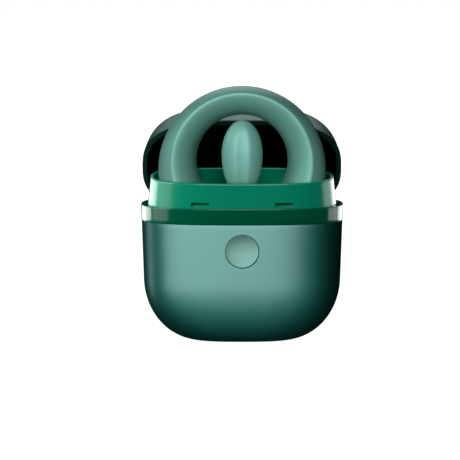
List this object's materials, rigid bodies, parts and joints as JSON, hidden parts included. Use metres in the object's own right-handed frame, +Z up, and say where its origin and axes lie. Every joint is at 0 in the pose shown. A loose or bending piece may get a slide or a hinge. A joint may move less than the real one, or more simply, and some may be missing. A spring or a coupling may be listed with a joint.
{
  "type": "hinged charging case with ring-shaped wearable device",
  "caption": "Rounded charging case with a tall hinged lid, a round front button and a cradle that holds a soft ring-shaped wearable device upright.",
  "frame": {"origin": "centre of the flat underside the case stands on", "axes": "+Z up, -Y towards the front face with the button, +X to the right seen from the front"},
  "size_m": [0.0766, 0.087, 0.0967],
  "materials": {
    "body_paint": "satin",
    "band_gloss": "gloss",
    "collar_gloss": "gloss",
    "cradle_plastic": "satin",
    "cell_wrap": "matte",
    "grey_plastic": "matte",
    "board_green": "satin",
    "port_steel": "satin",
    "black_plastic": "matte",
    "gold_brass": "polished",
    "screw_steel": "satin",
    "button_paint": "satin",
    "switch_steel": "satin",
    "spring_steel": "satin",
    "leaf_paint": "satin",
    "lid_paint": "satin",
    "liner_gloss": "gloss",
    "rim_gloss": "gloss",
    "ring_silicone": "matte",
    "weight_brass": "satin"
  },
  "bodies": {
    "case": {"body_shell": "body_paint", "trim_band": "band_gloss", "inner_collar": "collar_gloss", "cradle_tray": "cradle_plastic", "case_battery": "cell_wrap", "battery_bracket": "grey_plastic", "main_board": "board_green", "port_shell": "port_steel", "port_tongue": "black_plastic", "contact_board": "board_green", "pin_sleeves": "gold_brass", "bracket_screws": "screw_steel", "board_screws": "screw_steel", "contact_screws": "screw_steel", "button_board": "board_green", "button_switch": "switch_steel", "hinge_pin": "screw_steel", "hinge_spring": "spring_steel"},
    "button": {"front_button": "button_paint"},
    "pin_left": {"charge_pin_left": "gold_brass"},
    "pin_right": {"charge_pin_right": "gold_brass"},
    "lid": {"lid_shell": "lid_paint", "lid_liner": "liner_gloss", "lid_rim": "rim_gloss", "hinge_leaf": "leaf_paint", "leaf_screws": "screw_steel"},
    "ring": {"ring_sleeve": "ring_silicone", "ring_core": "grey_plastic", "ring_board": "board_green", "ring_battery": "cell_wrap", "ring_contacts": "gold_brass", "motor_can": "switch_steel"},
    "motor_rotor": {"motor_shaft": "screw_steel", "eccentric_weight": "weight_brass"}
  },
  "joints": [
    {"name": "lid_hinge", "type": "hinge", "parent": "case", "child": "lid", "pos_m": [0, 0.0162, 0.0465], "axis": [-1, 0, 0], "range_deg": [-12, 0]},
    {"name": "button_press", "type": "slide", "parent": "case", "child": "button", "axis": [0, 1, 0], "range_m": [0, 0.0005], "stiffness_N_per_m": 600},
    {"name": "pin_left_press", "type": "slide", "parent": "case", "child": "pin_left", "axis": [0, 0, -1], "range_m": [0, 0.0008], "stiffness_N_per_m": 400},
    {"name": "pin_right_press", "type": "slide", "parent": "case", "child": "pin_right", "axis": [0, 0, -1], "range_m": [0, 0.0008], "stiffness_N_per_m": 400},
    {"name": "ring_lift", "type": "slide", "parent": "case", "child": "ring", "axis": [0, 0, 1], "range_m": [0, 0.065]},
    {"name": "motor_spin", "type": "hinge", "parent": "ring", "child": "motor_rotor", "pos_m": [0.009, 0.0015, 0.0424], "axis": [1, 0, 0], "continuous": true}
  ]
}
